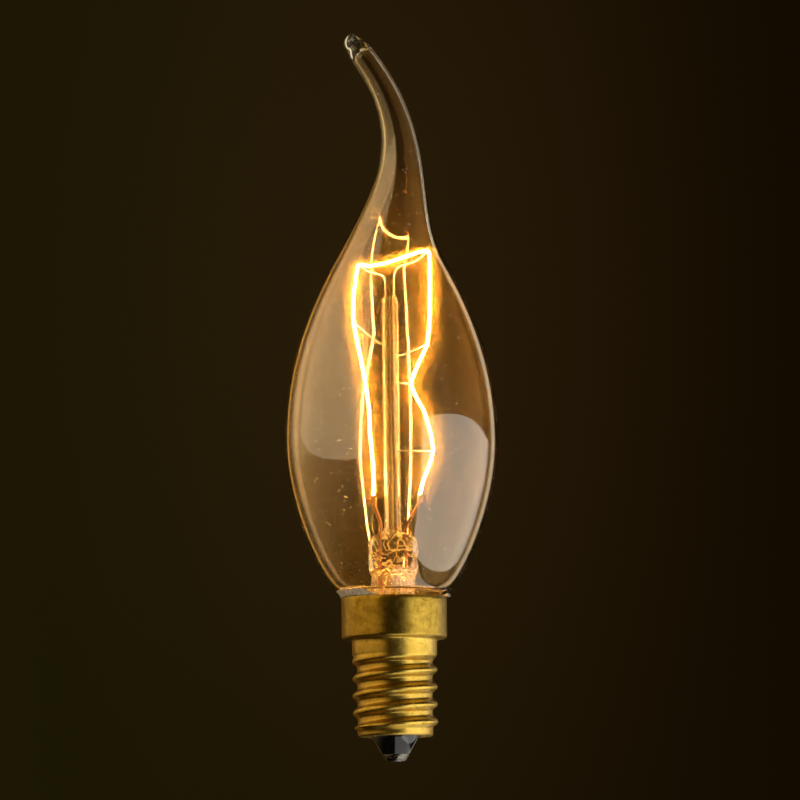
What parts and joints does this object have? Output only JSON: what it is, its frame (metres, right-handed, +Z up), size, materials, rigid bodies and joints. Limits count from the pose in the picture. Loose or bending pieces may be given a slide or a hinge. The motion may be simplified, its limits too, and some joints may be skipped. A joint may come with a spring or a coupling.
{
  "type": "filament bulb",
  "caption": "Clear candle-shaped filament bulb with a long glass tail bent over at the tip, a glowing wire cage on a glass rod, and a brass screw cap with a wide collar.",
  "frame": {"origin": "lowest point of the centre contact, on the axis of the screw cap", "axes": "+Z up the lamp from the contact to the tail; the tail bends over towards -X, and the rim's solder joint is at +Y"},
  "size_m": [0.0348, 0.0348, 0.1195],
  "materials": {
    "blown_glass": "clear, faintly amber",
    "stem_glass": "clear",
    "rod_glass": "clear",
    "nickel_wire": "drawn nickel",
    "copper_clad_wire": "copper clad",
    "tinned_wire": "tinned copper",
    "support_wire": "bright molybdenum",
    "glowing_filament": "white hot coil",
    "cap_brass": "aged, lightly stained",
    "contact_brass": "dull",
    "cement": "matt",
    "black_glass": "glossy black",
    "solder": "dull, rounded"
  },
  "bodies": {
    "root": {"envelope": "blown_glass", "stem_flare": "stem_glass", "stem_press": "stem_glass", "exhaust_tube": "stem_glass", "arbor_rod": "rod_glass", "inner_lead_left": "nickel_wire", "inner_lead_right": "nickel_wire", "seal_wire_left": "copper_clad_wire", "seal_wire_right": "copper_clad_wire", "outer_lead_centre": "tinned_wire", "outer_lead_side": "tinned_wire", "filament": "glowing_filament", "top_support_left": "support_wire", "top_support_right": "support_wire", "side_support_upper_left": "support_wire", "side_support_upper_right": "support_wire", "side_support_middle": "support_wire", "side_support_lower": "support_wire", "cap_shell": "cap_brass", "basing_cement": "cement", "cap_insulator": "black_glass", "contact_plate": "contact_brass", "centre_solder": "solder", "side_solder": "solder"}
  },
  "joints": []
}
